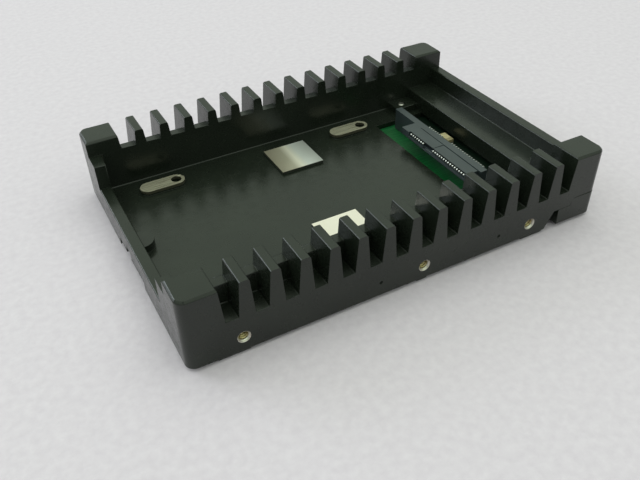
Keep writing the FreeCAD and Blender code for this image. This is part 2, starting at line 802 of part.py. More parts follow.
def make_plug_housing():
    """Host plug: a shell open to the rear with the two contact tongues inside."""
    body = new_body("host_plug_housing")
    shell_top = board_top + size.plug_height
    shell = side_sketch(body, "plug_shell", plug_far)
    add_rectangle(shell, (plug_back, board_top), (plug_mouth, shell_top))
    pad(shell, plug_far - plug_near)
    cavity_back = plug_back + size.plug_back_wall
    cavity = side_sketch(body, "plug_cavity", plug_far - size.plug_wall)
    add_rectangle(cavity, (cavity_back, board_top + size.plug_wall), (plug_mouth, shell_top - size.plug_wall))
    pocket(cavity, plug_far - plug_near - size.plug_wall * 2, reverse=True)
    margin = size.plug_tongue_margin
    spans = {"signal": (plug.first_signal, plug.last_signal), "power": (plug.first_power, plug.last_power)}
    for name, (far_y, near_y) in spans.items():
        tongue = side_sketch(body, f"{name}_tongue", far_y + margin)
        add_rectangle(tongue, (cavity_back, plug_tongue_bottom),
                      (plug_mouth - size.plug_tongue_setback, plug_tongue_top))
        pad(tongue, far_y - near_y + margin * 2)
    counts = {"signal": size.signal_count, "power": size.power_count}
    for name, (far_y, near_y) in spans.items():
        cavity = side_sketch(body, f"{name}_contact_hole", near_y)
        hole_top = plug_tongue_top + size.contact_thickness
        add_rectangle(cavity, (plug_back, plug_tongue_top), (cavity_back, hole_top))
        hole = pocket(cavity, size.plug_contact_width, symmetric=True)
        repeat(hole, "Y_Axis", size.contact_pitch, counts[name])
    return body


def make_plug_contacts():
    knee = plug_back - size.contact_thickness
    tip = plug_mouth - size.plug_tongue_setback * 2
    outline = bent_strip(tip, knee, plug_tongue_top + size.contact_thickness, knee - size.contact_foot)
    rows = {"signal": (plug.last_signal, size.signal_count), "power": (plug.last_power, size.power_count)}
    return [make_contacts(f"host_plug_{name}_contacts", y, count, size.plug_contact_width, outline)
            for name, (y, count) in rows.items()]


def make_hold_downs(label, wall_x, direction, near_y, far_y):
    """A pair of angled solder tabs against the back of a connector, foot on the board."""
    body = new_body(label)
    thick = direction * size.tab_thickness
    foot = wall_x + direction * size.tab_foot
    foot_top = board_top + size.tab_thickness
    tab_top = board_top + size.tab_height
    profile = side_sketch(body, f"{label}_profile", near_y)
    add_outline(profile, [(wall_x, board_top), (foot, board_top), (foot, foot_top),
                          (wall_x + thick, foot_top), (wall_x + thick, tab_top), (wall_x, tab_top)])
    first = pad(profile, size.tab_width, symmetric=True)
    repeat(first, "Y_Axis", far_y - near_y, 2)
    return body


def make_capacitor():
    """Moulded capacitor with an angled terminal folded under each end."""
    middle_x = socket_bar_back + size.capacitor_behind_socket + size.capacitor_width / 2
    half = size.capacitor_length / 2
    base = board_top + size.capacitor_stand
    body = new_body("tantalum_capacitor")
    outline = level_sketch(body, "capacitor_outline", base)
    add_rectangle(outline, (middle_x - size.capacitor_width / 2, size.capacitor_y - half),
                  (middle_x + size.capacitor_width / 2, size.capacitor_y + half))
    pad(outline, size.capacitor_height)
    terminals = new_body("capacitor_terminals")
    thick = size.terminal_thickness
    lap = size.capacitor_length / 4
    for name, sign in SIDES.items():
        end = size.capacitor_y + sign * half
        profile = new_sketch(terminals, f"{name}_terminal", "YZ_Plane", middle_x)
        fold = base + size.capacitor_height / 2
        add_outline(profile, [(end - sign * lap, board_top), (end + sign * thick, board_top),
                              (end + sign * thick, fold), (end, fold), (end, base), (end - sign * lap, base)])
        pad(profile, size.terminal_width, symmetric=True)
    return [body, terminals]


def make_screws(label, place, seat, head_radius, radius, tip):
    """A pair of screws, driven upwards, turned from one half-section and set either side of the middle."""
    x, y = place
    body = new_body(label)
    profile = new_sketch(body, f"{label}_profile", "XZ_Plane", y)
    head_bottom = seat - size.screw_head_height
    add_outline(profile, [(x, head_bottom), (x + head_radius, head_bottom), (x + head_radius, seat),
                          (x + radius, seat), (x + radius, tip), (x, tip)])
    screw = body.newObject("PartDesign::Revolution", f"{label}_turned")
    screw.Profile = profile
    screw.ReferenceAxis = (profile, ["Edge6"])
    screw.Angle = 360
    doc.recompute()
    repeat(screw, "Y_Axis", y * 2, 2)
    return body


def make_pads():
    """Two square thermal pads on the tray's floor, each faced with foil."""
    made = []
    shifts = {"far": size.pad_far_shift, "near": size.pad_near_shift}
    for name, sign in SIDES.items():
        x = drive_middle + shifts[name] - size.pad_side / 2
        y = sign * size.pad_span / 2 - size.pad_side / 2
        layers = {f"thermal_pad_{name}": (size.floor_level, size.pad_thickness),
                  f"pad_foil_{name}": (size.floor_level + size.pad_thickness, size.foil_thickness)}
        for label, (level, thickness) in layers.items():
            box = doc.addObject("Part::Box", label)
            box.Label = label
            for prop, length in (("Length", size.pad_side), ("Width", size.pad_side), ("Height", thickness),
                                 ("Placement.Base.x", x), ("Placement.Base.y", y),
                                 ("Placement.Base.z", level)):
                bind(box, prop, length)
            made.append(box)
    doc.recompute()
    return made


def make_all():
    pieces = [make_tray(), make_cover(), make_board(), make_socket_housing(), make_plug_housing()]
    pieces += make_socket_contacts() + make_plug_contacts() + make_capacitor() + make_pads()
    tab_inset = size.tab_width / 2
    pieces.append(make_hold_downs("drive_socket_hold_downs", socket_bar_back, 1,
                                  socket_bar_near + tab_inset, socket_far + tab_inset))
    pieces.append(make_hold_downs("host_plug_hold_downs", plug_back, -1, plug_near + tab_inset,
                                  plug_far - tab_inset))
    pieces.append(make_screws("board_screws", (board_screw_x, board_screw_y), cover_bottom,
                              size.screw_head_radius, size.screw_radius,
                              size.platform_level + size.board_screw_proud))
    pieces.append(make_screws("cover_screws", (cover_screw_x, cover_screw_y), cover_head_seat,
                              size.cover_screw_head_radius, size.cover_screw_radius,
                              size.cutout_high_level + size.cover_screw_bite))
    return pieces


def check(pieces):
    """Stop before anything is written if a feature failed or a shape is not sound."""
    for item in doc.Objects:
        if "Invalid" in item.State or "Error" in item.State:
            raise RuntimeError(f"{item.Label} failed: {item.State}")
    for piece in pieces:
        if piece.Shape.isNull() or not piece.Shape.isValid() or not piece.Shape.Solids:
            raise RuntimeError(f"{piece.Label} has no sound shape")


pieces = make_all()
doc.recompute()
check(pieces)
os.makedirs("parts", exist_ok=True)
for piece in pieces:
    piece.Shape.exportStep(os.path.join("parts", f"{piece.Label}.step"))
    print(f"{piece.Label}: {len(piece.Shape.Solids)} solids, {piece.Shape.Volume:.1f} mm3")
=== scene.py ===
import json
import math

import bmesh
import bpy
from mathutils import Matrix, Vector


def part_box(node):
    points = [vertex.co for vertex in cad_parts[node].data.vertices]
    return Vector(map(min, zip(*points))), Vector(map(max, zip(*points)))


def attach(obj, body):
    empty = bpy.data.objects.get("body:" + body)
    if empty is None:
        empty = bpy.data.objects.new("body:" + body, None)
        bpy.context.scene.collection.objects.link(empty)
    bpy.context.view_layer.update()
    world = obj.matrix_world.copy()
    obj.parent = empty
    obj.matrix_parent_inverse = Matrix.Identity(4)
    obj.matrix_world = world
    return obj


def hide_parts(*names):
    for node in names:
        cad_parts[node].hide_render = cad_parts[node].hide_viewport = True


# Looks of a finned drive bracket: the finish of every piece, the coves, threads, contact ends and screws
# that the solid model leaves out, and the floor, light and camera. Lengths are in metres, in the same
# frame as the solid model.

MM = 0.001

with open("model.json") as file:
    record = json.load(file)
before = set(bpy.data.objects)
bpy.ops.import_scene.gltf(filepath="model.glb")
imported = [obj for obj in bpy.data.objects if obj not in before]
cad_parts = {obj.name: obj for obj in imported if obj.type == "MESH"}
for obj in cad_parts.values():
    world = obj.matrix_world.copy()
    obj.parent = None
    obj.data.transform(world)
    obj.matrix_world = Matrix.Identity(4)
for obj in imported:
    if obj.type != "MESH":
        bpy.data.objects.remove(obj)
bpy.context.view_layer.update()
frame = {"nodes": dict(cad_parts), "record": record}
nodes = frame["nodes"]
tray_low, tray_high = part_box("finned_tray")
socket_low, socket_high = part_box("drive_socket_housing")

# Tapped holes in the casting's sides and underside. The margins keep a hole's wall and end in its mask.
SIDE_HOLES_X = [45.0 * MM, 3.4 * MM, -56.6 * MM]
SIDE_HOLE_Z = 6.35 * MM
SIDE_HOLE_RIM = 2.05 * MM
BOTTOM_HOLES_X = [-12.23 * MM, 32.22 * MM]
BOTTOM_HOLE_Y = 47.625 * MM
BOTTOM_HOLE_Z = 1.4 * MM
HOLE_RADIUS = 1.4 * MM
HOLE_DEPTH = 7.0 * MM
HOLE_SINK = 0.6 * MM
WALL_MARGIN = 0.02 * MM
END_MARGIN = 0.1 * MM
THREAD_PITCH = 0.794 * MM
THREAD_DEPTH = 0.28 * MM
THREAD_HALF_WIDTH = 0.45 * THREAD_PITCH
THREAD_SINK = 0.03 * MM
STEPS_A_TURN = 18

# Bay floor, with the bosses that carry the drive
FLOOR_TOP = 6.3 * MM
BAY_HALF = 39.5 * MM
END_WALL = 3.9 * MM
BAY_FRONT = tray_low.x + END_WALL
PLATFORM_FRONT = 48.6 * MM
COVE_RADIUS = 0.4 * MM
COVE_SINK = 0.05 * MM
BOSS_TOP = 8.1 * MM
BOSS_Y = 30.86 * MM
BOSS_REACH = 6.5 * MM
BOSS_BARE = 1.1 * MM

# Contacts of the drive socket
CONTACT_COUNTS = {"drive_socket_signal_contacts": 7, "drive_socket_power_contacts": 15}
CONTACT_WIDTH = 0.64 * MM
CONTACT_THICKNESS = 0.3 * MM
TIP_RADIUS = 0.26 * MM
TIP_WIDTH = 0.46 * MM
TIP_SETBACK = 1.6 * TIP_RADIUS
TAIL_WIDTH = 0.30 * MM
TAIL_REACH = 0.5 * MM
TAIL_BELOW_TOP = 0.45 * MM
TAIL_BEND = 0.1 * MM
TAIL_LENGTH = 0.95 * MM

# Screws. A point of a head's profile is a share of its radius and of its height, and a point of an end's
# profile is a share of the shank's radius and a distance from the end in shank radii. The recess is in
# shares of the head, apart from its clearance.
BOARD_SCREW_RADIUS = 1.4 * MM
COVER_SCREW_RADIUS = 1.0 * MM
HEAD_HEIGHT = 1.1 * MM
HEAD_PROFILE = [(0.02, 0), (0.60, 0), (0.86, 0.16), (1, 0.55), (1, 1)]
END_PROFILE = [(1, 0.3), (0.75, 0), (0.02, 0)]
RECESS_LENGTH = 0.62
RECESS_WIDTH = 0.14
RECESS_DEPTH = 0.6
RECESS_TAPER = 0.7
RECESS_CLEAR = 0.1 * MM
SCREW_STEPS = 32

# Rounds on sharp edges, by node
EDGE_ROUNDS = {
    "finned_tray": 0.3 * MM,
    "rear_cover": 0.3 * MM,
    "drive_socket_housing": 0.2 * MM,
    "host_plug_housing": 0.12 * MM,
    "tantalum_capacitor": 0.2 * MM,
}
ROUND_SEGMENTS = 3
WELD_REACH = 0.01 * MM
FLAT_ANGLE = math.radians(0.5)
SHARP_ANGLE = math.radians(35)
FULL_AREA_WEIGHT = 100

# Corners of a square, and how near two points of a new mesh are when they become one
SQUARE = [(-1, -1), (1, -1), (1, 1), (-1, 1)]
MERGE_REACH = 0.0001 * MM

# Floor and light. A light's power is in watts.
FLOOR_REACH = 4.0
SKY_LOW = (0.36, 0.38, 0.38, 1)
SKY_HIGH = (1.16, 1.33, 1.10, 1)
SKY_HIGH_FROM = 0.75
SKY_STRENGTH = 0.8
WINDOW = {"direction": (-0.60, 0.69, 0.38), "distance": 2.4, "width": 1.24, "height": 0.92, "power": 15.2,
          "colour": (0.86, 0.94, 1.0)}
CEILING = {"direction": (0.05, 0.10, 1.0), "distance": 1.5, "width": 1.6, "height": 1.6, "power": 3.0,
           "colour": (1.0, 1.0, 0.99)}

# The camera stands where the picture was taken, found from the corners of the bracket in it
AZIMUTH, ELEVATION, ROLL = (math.radians(angle) for angle in (-27.705, 38.577, -1.491))
DISTANCE = 235.51 * MM
TARGET = Vector((-14.541, -16.773, 0)) * MM
IMAGE_WIDTH = 640
FOCAL_LENGTH_PIXELS = 702.92
SENSOR_WIDTH = 36.0
NEAR_CLIP = 10 * MM


class Finish:
    """One node material, with short calls for the nodes that the finishes share."""

    def __init__(self, name, **values):
        self.material = bpy.data.materials.new(name)
        self.material.use_nodes = True
        self.tree = self.material.node_tree
        self.shader = self.tree.nodes["Principled BSDF"]
        self.place = self.add("ShaderNodeTexCoord").outputs["Object"]
        self.set(**values)

    def add(self, kind, inputs=None, **settings):
        node = self.tree.nodes.new(kind)
        for name, value in settings.items():
            setattr(node, name, value)
        for key, value in (inputs or {}).items():
            self.feed(node.inputs[key], value)
        return node

    def feed(self, socket, value):
        if isinstance(value, bpy.types.NodeSocket):
            self.tree.links.new(value, socket)
        elif socket.type == "RGBA":
            socket.default_value = (*value, 1)
        else:
            socket.default_value = value

    def set(self, **values):
        """Set inputs of the shader, named with underscores for spaces."""
        for name, value in values.items():
            self.feed(self.shader.inputs[name.replace("_", " ")], value)

    def maths(self, operation, first, second=0.0):
        return self.add("ShaderNodeMath", {0: first, 1: second}, operation=operation).outputs[0]

    def between(self, value, low, high):
        """1 where a value lies between two limits, 0 elsewhere."""
        above = self.maths("GREATER_THAN", value, low)
        return self.maths("MULTIPLY", above, self.maths("LESS_THAN", value, high))

    def disc(self, values, centre, radius):
        """1 inside a circle in the plane of two coordinates, 0 elsewhere."""
        offsets = [self.maths("SUBTRACT", value, middle) for value, middle in zip(values, centre)]
        squares = [self.maths("POWER", offset, 2.0) for offset in offsets]
        return self.maths("LESS_THAN", self.maths("ADD", *squares), radius ** 2)

    def noise(self, grain, detail=3.0, stretch=(1, 1, 1)):
        """Noise whose features are about the given length, drawn out along the axes by the stretch."""
        scale = [1 / part for part in stretch]
        mapping = self.add("ShaderNodeMapping", {"Vector": self.place, "Scale": scale})
        inputs = {"Vector": mapping.outputs[0], "Scale": 1 / grain, "Detail": detail}
        return self.add("ShaderNodeTexNoise", inputs).outputs[0]

    def spread(self, value, low, high, start=0.3, end=0.7):
        """Number that goes from low to high as the value goes from start to end."""
        inputs = {"Value": value, "From Min": start, "From Max": end, "To Min": low, "To Max": high}
        return self.add("ShaderNodeMapRange", inputs).outputs[0]

    def mix(self, data_type, factor, first, second):
        node = self.add("ShaderNodeMix", data_type=data_type)
        sockets = [socket for socket in node.inputs if socket.enabled]
        for socket, value in zip(sockets, (factor, first, second)):
            self.feed(socket, value)
        return next(socket for socket in node.outputs if socket.enabled)

    def blend(self, factor, first, second):
        """Colour that goes from the first to the second as the factor goes from 0 to 1."""
        return self.mix("RGBA", factor, first, second)

    def mixed(self, factor, first, second):
        """Number that goes from the first to the second as the factor goes from 0 to 1."""
        return self.mix("FLOAT", factor, first, second)

    def mottle(self, pattern, dark, light):
        """Colour that varies between two tones with a noise pattern."""
        return self.blend(self.spread(pattern, 0, 1), dark, light)

    def bump(self, height, depth):
        inputs = {"Height": height, "Strength": 1.0, "Distance": depth}
        self.set(Normal=self.add("ShaderNodeBump", inputs).outputs[0])

    def axes(self):
        split = self.add("ShaderNodeSeparateXYZ", {0: self.place})
        return [split.outputs[index] for index in range(3)]


def boss_mask(finish):
    """1 on the drive bosses, which are milled after painting."""
    x, y, z = finish.axes()
    across = finish.maths("ABSOLUTE", y)
    on_boss = finish.between(across, BOSS_Y - BOSS_REACH, BOSS_Y + BOSS_REACH)
    at_top = finish.between(z, BOSS_TOP - BOSS_BARE, BOSS_TOP + BOSS_BARE)
    in_bay = finish.between(x, BAY_FRONT + BOSS_BARE, socket_low.x)
    return finish.maths("MULTIPLY", on_boss, finish.maths("MULTIPLY", at_top, in_bay))


def hole_mask(finish):
    """1 in the tapped holes and on the chamfers of the side ones, which are bare metal."""
    x, y, z = finish.axes()
    across = finish.maths("ABSOLUTE", y)
    in_wall = finish.maths("GREATER_THAN", across, tray_high.y - HOLE_DEPTH - HOLE_SINK)
    in_base = finish.maths("LESS_THAN", z, BOTTOM_HOLE_Z + HOLE_DEPTH + END_MARGIN)
    mask = 0.0
    for hole_x in SIDE_HOLES_X:
        inside = finish.disc((x, z), (hole_x, SIDE_HOLE_Z), SIDE_HOLE_RIM)
        mask = finish.maths("MAXIMUM", mask, finish.maths("MULTIPLY", inside, in_wall))
    for hole_x in BOTTOM_HOLES_X:
        inside = finish.disc((x, across), (hole_x, BOTTOM_HOLE_Y), HOLE_RADIUS + WALL_MARGIN)
        mask = finish.maths("MAXIMUM", mask, finish.maths("MULTIPLY", inside, in_base))
    return mask


def bare_metal_and_bore_shade_tones(finish, brushed):
    """Colours of the milled bosses, darker down their sides, and of the holes, with painted shade past the
    chamfer.
    """
    normal = finish.add("ShaderNodeNewGeometry").outputs["Normal"]
    upward = finish.add("ShaderNodeSeparateXYZ", {0: normal}).outputs[2]
    polished = finish.mottle(brushed, dark=(0.30, 0.28, 0.21), light=(0.54, 0.51, 0.40))
    boss_side = (0.09, 0.085, 0.06)
    milled = finish.blend(finish.spread(upward, 0, 1, start=0.2, end=0.7), boss_side, polished)
    chamfer = finish.mottle(brushed, dark=(0.42, 0.39, 0.32), light=(0.70, 0.68, 0.62))
    # Painted shade: a hole goes from its bright chamfer to near black down the bore, where little light
    # reaches.
    painted_bore_shade = (0.035, 0.030, 0.014)
    across = finish.maths("ABSOLUTE", finish.axes()[1])
    chamfer_end = tray_high.y - HOLE_SINK
    depth = finish.spread(across, 1, 0, start=chamfer_end - THREAD_PITCH, end=chamfer_end)
    return milled, finish.blend(depth, chamfer, painted_bore_shade)


def black_casting():
    """Satin black paint with an olive cast over a die casting, bare where it is machined."""
    finish = Finish("black_casting", Specular_IOR_Level=0.42)
    boss = boss_mask(finish)
    hole = hole_mask(finish)
    bare = finish.maths("MAXIMUM", boss, hole)
    brushed = finish.noise(1.2 * MM, detail=4.0, stretch=(6, 0.25, 1))
    milled, bore_metal_and_shade = bare_metal_and_bore_shade_tones(finish, brushed)
    broad = finish.noise(14 * MM, detail=2.0)
    paint = finish.mottle(broad, dark=(0.009, 0.012, 0.0085), light=(0.013, 0.017, 0.012))
    finish.set(Base_Color=finish.blend(hole, finish.blend(boss, paint, milled), bore_metal_and_shade))
    satin = finish.spread(finish.noise(3 * MM), 0.20, 0.30)
    finish.set(Roughness=finish.mixed(bare, satin, finish.spread(brushed, 0.24, 0.36)))
    boss_metal = 0.5
    finish.set(Metallic=finish.maths("ADD", finish.maths("MULTIPLY", boss, boss_metal), hole))
    peel = finish.noise(0.9 * MM, detail=2.0)
    finish.bump(finish.mixed(bare, peel, brushed), depth=0.012 * MM)
    return finish.material


def solder_mask():
    """Green lacquer over copper tracks that run along the board, with painted shade behind the socket."""
    finish = Finish("board", Roughness=0.32)
    tracks = finish.noise(1.1 * MM, detail=1.0, stretch=(9, 0.6, 1))
    copper = finish.spread(tracks, 0, 1, start=0.53, end=0.56)
    lacquer = finish.blend(copper, (0.0065, 0.096, 0.027), (0.015, 0.138, 0.042))
    painted_shade_behind_socket = finish.maths("GREATER_THAN", finish.axes()[0], socket_high.x)
    # Painted shade: the board turns near black behind the socket, where the socket shades it.
    finish.set(Base_Color=finish.blend(painted_shade_behind_socket, lacquer, (0.004, 0.012, 0.007)))
    finish.bump(copper, depth=0.02 * MM)
    return finish.material


def moulded(name, dark, light, rough):
    """Moulded plastic with a faint flow pattern and spark-eroded grain."""
    finish = Finish(name)
    flow = finish.noise(4 * MM, detail=2.0, stretch=(1, 3, 1))
    finish.set(Base_Color=finish.mottle(flow, dark, light))
    grain = finish.noise(0.18 * MM, detail=2.0)
    finish.set(Roughness=finish.spread(grain, rough - 0.06, rough + 0.08))
    finish.bump(grain, depth=0.006 * MM)
    return finish.material


def plated(name, dark, light, rough, drawn=(1, 4, 1), metallic=1.0):
    """Plated or tinned metal with fine drawing marks."""
    finish = Finish(name, Metallic=metallic)
    marks = finish.noise(0.35 * MM, stretch=drawn)
    finish.set(Base_Color=finish.mottle(marks, dark, light))
    finish.set(Roughness=finish.spread(marks, rough - 0.05, rough + 0.08))
    finish.bump(marks, depth=0.004 * MM)
    return finish.material


def capacitor_body():
    """Cream moulding with a darker band at one end."""
    finish = Finish("capacitor_body")
    low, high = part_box("tantalum_capacitor")
    band_share = 0.3
    band = finish.maths("LESS_THAN", finish.axes()[1], low.y + (high.y - low.y) * band_share)
    cream = finish.mottle(finish.noise(0.8 * MM), dark=(0.47, 0.40, 0.22), light=(0.58, 0.50, 0.30))
    finish.set(Base_Color=finish.blend(band, cream, (0.30, 0.25, 0.14)))
    finish.set(Roughness=finish.spread(finish.noise(0.3 * MM), 0.45, 0.6))
    finish.bump(finish.noise(0.2 * MM), depth=0.005 * MM)
    return finish.material


def pad_rubber():
    """Soft dark pad with an open grain."""
    finish = Finish("pad_rubber")
    grain = finish.noise(0.4 * MM, detail=4.0)
    finish.set(Base_Color=finish.mottle(grain, dark=(0.012, 0.014, 0.010), light=(0.03, 0.034, 0.026)))
    finish.set(Roughness=finish.spread(grain, 0.6, 0.8))
    finish.bump(grain, depth=0.03 * MM)
    return finish.material


def bright_foil(node, tones_and_painted_reflection):
    """Smooth foil whose tone goes through the given ones along the pad, a painted reflection on the far
    foil, with faint rolling marks lightened toward a painted glint.
    """
    finish = Finish(node, Metallic=0.35)
    low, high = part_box(node)
    along = finish.spread(finish.axes()[0], 0, 1, start=low.x, end=high.x)
    ramp = finish.add("ShaderNodeValToRGB", {0: along})
    stops = ramp.color_ramp.elements
    stops[0].color = (*tones_and_painted_reflection[0][1], 1)
    stops[1].color = (*tones_and_painted_reflection[-1][1], 1)
    for position, tone in tones_and_painted_reflection[1:-1]:
        stops.new(position).color = (*tone, 1)
    rolled = finish.noise(0.5 * MM, stretch=(12, 0.6, 1))
    # Partly the marks' own tone and partly a painted glint: the rolling marks are lightened toward near
    # white.
    mark_and_glint_strength = 0.03
    marks = finish.spread(rolled, 0, mark_and_glint_strength)
    finish.set(Base_Color=finish.blend(marks, ramp.outputs[0], (0.9, 0.9, 0.88)))
    finish.set(Roughness=finish.spread(rolled, 0.285, 0.30))
    finish.bump(finish.noise(6 * MM, detail=1.0), depth=0.02 * MM)
    return finish.material


def pale_floor():
    finish = Finish("pale_floor", Roughness=0.85)
    grain = finish.noise(2.5 * MM, detail=4.0)
    finish.set(Base_Color=finish.mottle(grain, dark=(0.68, 0.60, 0.70), light=(0.74, 0.66, 0.76)))
    finish.bump(grain, depth=0.15 * MM)
    return finish.material


def slot_finishes():
    """The finish of every slot in the record but the foils', which differ from pad to pad."""
    return {
        "black_casting": black_casting(),
        "board": solder_mask(),
        "connector_plastic": moulded("connector_plastic", dark=(0.030, 0.040, 0.046),
                                     light=(0.040, 0.051, 0.058), rough=0.36),
        "contact_metal": plated("contact_metal", dark=(0.32, 0.31, 0.28), light=(0.48, 0.47, 0.43),
                                rough=0.25),
        "tinned_steel": plated("tinned_steel", dark=(0.55, 0.55, 0.54), light=(0.75, 0.75, 0.74),
                               rough=0.32),
        "capacitor_body": capacitor_body(),
        "screw_steel": plated("screw_steel", dark=(0.55, 0.54, 0.50), light=(0.75, 0.73, 0.68), rough=0.30,
                              drawn=(1, 1, 4)),
        "pad_rubber": pad_rubber(),
    }


def foil_finishes():
    """The far foil has a painted reflection, a bright band across it, and the near one is even."""
    # Painted reflection: the far foil's bright band stands in for its surroundings mirrored in it. The
    # near foil's tone is its own.
    far_foil_painted_reflection = [(0, (0.28, 0.25, 0.19)), (0.34, (0.40, 0.37, 0.29)), (0.50, (0.78, 0.74, 0.64)),
              (0.66, (0.60, 0.62, 0.60)), (1, (0.38, 0.39, 0.38))]
    even = [(0, (0.84, 0.77, 0.68)), (0.5, (0.88, 0.81, 0.72)), (1, (0.86, 0.79, 0.70))]
    tones_and_painted_reflection = {"pad_foil_far": far_foil_painted_reflection, "pad_foil_near": even}
    return {node: bright_foil(node, tones_and_painted_reflection[node]) for node in tones_and_painted_reflection}


def paint_nodes(by_slot, by_node):
    """Give every solid its own finish, or the one of its slot in the record."""
    for part in frame["record"]["subparts"]:
        finish = by_node.get(part["node"]) or by_slot[part["material_slot"]]
        mesh = nodes[part["node"]].data
        mesh.materials.clear()
        mesh.materials.append(finish)


def round_edges(piece, width):
    """Break the sharp edges of a solid by a small round, as paint and moulding do."""
    weld = piece.modifiers.new("weld", "WELD")
    weld.merge_threshold = WELD_REACH
    flatten = piece.modifiers.new("flatten", "DECIMATE")
    flatten.decimate_type = "DISSOLVE"
    flatten.angle_limit = FLAT_ANGLE
    bevel = piece.modifiers.new("bevel", "BEVEL")
    bevel.offset_type = "ABSOLUTE"
    bevel.use_clamp_overlap = False
    bevel.width = width
    bevel.segments = ROUND_SEGMENTS
    bevel.limit_method = "ANGLE"
    bevel.angle_limit = SHARP_ANGLE
    even = piece.modifiers.new("even_normals", "WEIGHTED_NORMAL")
    even.mode = "FACE_AREA"
    even.weight = FULL_AREA_WEIGHT
    even.keep_sharp = False


class Form:
    """Collects the points and faces of one new piece."""

    def __init__(self):
        self.points = []
        self.faces = []

    def add_rings(self, rings):
        """Skin a row of equal closed rings of points, and close its two ends."""
        first = len(self.points)
        count = len(rings[0])
        last = first + (len(rings) - 1) * count
        for ring in rings:
            self.points += ring
        for low in range(first, last, count):
            high = low + count
            for index in range(count):
                following = (index + 1) % count
                self.faces.append((low + index, low + following, high + following, high + index))
        self.faces.append(tuple(range(first, first + count)))
        self.faces.append(tuple(range(last, last + count)))

    def finish(self, name, material, slot):
        """Make the piece, which rides on the only body."""
        mesh = bpy.data.meshes.new(name)
        mesh.from_pydata(self.points, [], self.faces)
        work = bmesh.new()
        work.from_mesh(mesh)
        bmesh.ops.remove_doubles(work, verts=work.verts, dist=MERGE_REACH)
        bmesh.ops.recalc_face_normals(work, faces=work.faces)
        work.to_mesh(mesh)
        work.free()
        mesh.materials.append(material)
        piece = bpy.data.objects.new(name, mesh)
        bpy.context.scene.collection.objects.link(piece)
        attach(piece, "root")
        return piece


def arc(centre, radius, start, end, steps):
    """Points on an arc, in a plane of two axes, with angles in degrees."""
    angles = [math.radians(start + (end - start) * step / steps) for step in range(steps + 1)]
    return [(centre[0] + radius * math.cos(angle), centre[1] + radius * math.sin(angle))
            for angle in angles]


def add_coves(material):
    """Small coves where the side walls and the front wall of the bay meet its floor."""
    profile = [(-COVE_SINK, -COVE_SINK)]
    profile += arc((COVE_RADIUS, COVE_RADIUS), COVE_RADIUS, start=270, end=180, steps=6)
    form = Form()
    for side in (-1, 1):
        form.add_rings([[(x, side * (BAY_HALF - out), FLOOR_TOP + up) for out, up in profile]
                        for x in (BAY_FRONT, PLATFORM_FRONT)])
    form.add_rings([[(BAY_FRONT + out, y, FLOOR_TOP + up) for out, up in profile]
                    for y in (-BAY_HALF, BAY_HALF)])
    form.finish("floor_coves", material, "black_casting")


def add_thread(form, mouth, inward, length):
    """A ridge that winds down the wall of a tapped hole."""
    across = inward.orthogonal().normalized()
    other = inward.cross(across)
    wall = HOLE_RADIUS + THREAD_SINK
    crest = HOLE_RADIUS - THREAD_DEPTH
    section = [(wall, -THREAD_HALF_WIDTH), (wall, THREAD_HALF_WIDTH), (crest, 0)]
    rings = []
    for step in range(int(length / THREAD_PITCH * STEPS_A_TURN) + 1):
        turns = step / STEPS_A_TURN
        outward = across * math.cos(math.tau * turns) + other * math.sin(math.tau * turns)
        middle = mouth + inward * (THREAD_PITCH * (0.5 + turns))
        rings.append([tuple(middle + outward * reach + inward * along) for reach, along in section])
    form.add_rings(rings)


def add_threads(material):
    form = Form()
    length = HOLE_DEPTH - HOLE_SINK - THREAD_PITCH
    for side in (-1, 1):
        for x in SIDE_HOLES_X:
            mouth = Vector((x, side * (tray_high.y - HOLE_SINK), SIDE_HOLE_Z))
            add_thread(form, mouth, Vector((0, -side, 0)), length)
        for x in BOTTOM_HOLES_X:
            mouth = Vector((x, side * BOTTOM_HOLE_Y, BOTTOM_HOLE_Z))
            add_thread(form, mouth, Vector((0, 0, 1)), length)
    form.finish("mounting_hole_threads", material, "black_casting")


def contact_rows():
    """Y of every contact of the drive socket."""
    rows = []
    for node, count in CONTACT_COUNTS.items():
        low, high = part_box(node)
        pitch = (high.y - low.y - CONTACT_WIDTH) / (count - 1)
        rows += [low.y + CONTACT_WIDTH / 2 + pitch * index for index in range(count)]
    return rows


def tip_profile():
    """Half round on the front end of a contact, in X and Z."""
    low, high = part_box("drive_socket_power_contacts")
    return arc((low.x + TIP_SETBACK, high.z), TIP_RADIUS, start=0, end=180, steps=8)


def tail_profile():
    """Strip that comes out of the back of the socket's bar and turns down, in X and Z."""
    back = socket_high.x
    turn = (back + TAIL_REACH, socket_high.z - TAIL_BELOW_TOP)
    outer = arc(turn, CONTACT_THICKNESS + TAIL_BEND, start=90, end=0, steps=6)
    inner = arc(turn, TAIL_BEND, start=0, end=90, steps=3)
    foot = turn[1] - TAIL_LENGTH
    end = [(outer[-1][0], foot), (inner[0][0], foot)]
    return [(back, outer[0][1])] + outer + end + inner + [(back, inner[-1][1])]


def add_contact_ends(name, profile, width, material):
    """The same end on every contact of the drive socket."""
    form = Form()
    for y in contact_rows():
        form.add_rings([[(x, end, z) for x, z in profile] for end in (y - width / 2, y + width / 2)])
    form.finish(name, material, "contact_metal")


def circle(x, y, radius, z):
    turns = [math.tau * step / SCREW_STEPS for step in range(SCREW_STEPS)]
    return [(x + radius * math.cos(turn), y + radius * math.sin(turn), z) for turn in turns]


def cut_away(piece, cutter):
    """Cut one piece out of another, and keep only what is left of it."""
    recess = piece.modifiers.new("recess", "BOOLEAN")
    recess.object = cutter
    recess.solver = "EXACT"
    recess.use_self = True
    bpy.context.view_layer.update()
    shaped = bpy.data.meshes.new_from_object(piece.evaluated_get(bpy.context.evaluated_depsgraph_get()))
    piece.modifiers.clear()
    piece.data = shaped
    bpy.data.objects.remove(cutter)


